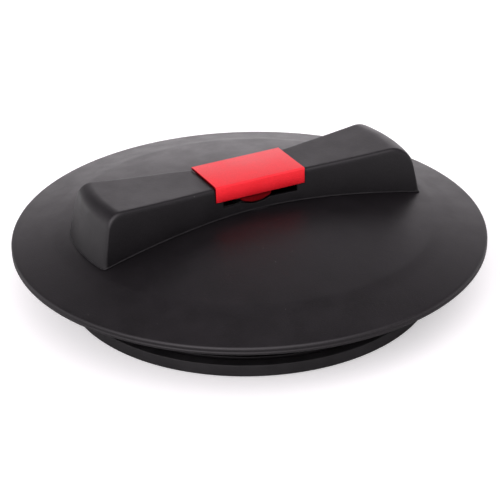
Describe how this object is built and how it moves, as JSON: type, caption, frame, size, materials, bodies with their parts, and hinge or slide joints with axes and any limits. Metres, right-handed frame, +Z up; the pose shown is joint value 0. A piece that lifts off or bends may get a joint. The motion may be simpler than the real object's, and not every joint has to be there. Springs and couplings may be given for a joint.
{
  "type": "sink plunger",
  "caption": "Round press-in sink plunger disc with a wide domed flange, bow-shaped handle, flip-up red vent lever, spring-loaded vent valve and smooth rubber seal.",
  "frame": {"origin": "centre of the face the plunger stands on, under the retaining ring", "axes": "+Z up along the cover's axis, +X along the handle, -Y is the side the vent lever opens from"},
  "size_m": [0.28, 0.28, 0.0779],
  "materials": {
    "cover_plastic": "fine satin moulded black plastic",
    "handle_plastic": "fine satin moulded black plastic",
    "lever_plastic": "satin moulded red plastic",
    "steel": "zinc-plated steel",
    "spring_steel": "drawn stainless wire and strip",
    "rubber": "moulded black rubber",
    "acetal": "natural white acetal"
  },
  "bodies": {
    "body": {"cover": "cover_plastic", "handle_shell": "handle_plastic", "hinge_pin": "steel", "pin_clips": "spring_steel", "stem_bush": "acetal", "valve_spring": "spring_steel", "seal_ring": "rubber", "retaining_ring": "cover_plastic", "ring_screws": "steel", "handle_screws": "steel", "handle_washers": "steel"},
    "lever": {"vent_lever": "lever_plastic"},
    "valve": {"valve_stem": "acetal", "valve_washer": "rubber", "lifter_plate": "acetal", "lifter_screw": "steel", "spring_cup": "acetal", "stem_clip": "spring_steel"}
  },
  "joints": [
    {"name": "lever_hinge", "type": "hinge", "parent": "body", "child": "lever", "pos_m": [0, 0.0098, 0.0681], "axis": [-1, 0, 0], "range_deg": [0, 85]},
    {"name": "stem_slide", "type": "slide", "parent": "body", "child": "valve", "axis": [0, 0, 1], "range_m": [0, 0.0029], "deforming": ["valve_spring"]}
  ],
  "couplings": [
    {"joint": "stem_slide", "follows": "lever_hinge", "m_per_rad": 0.00193}
  ]
}
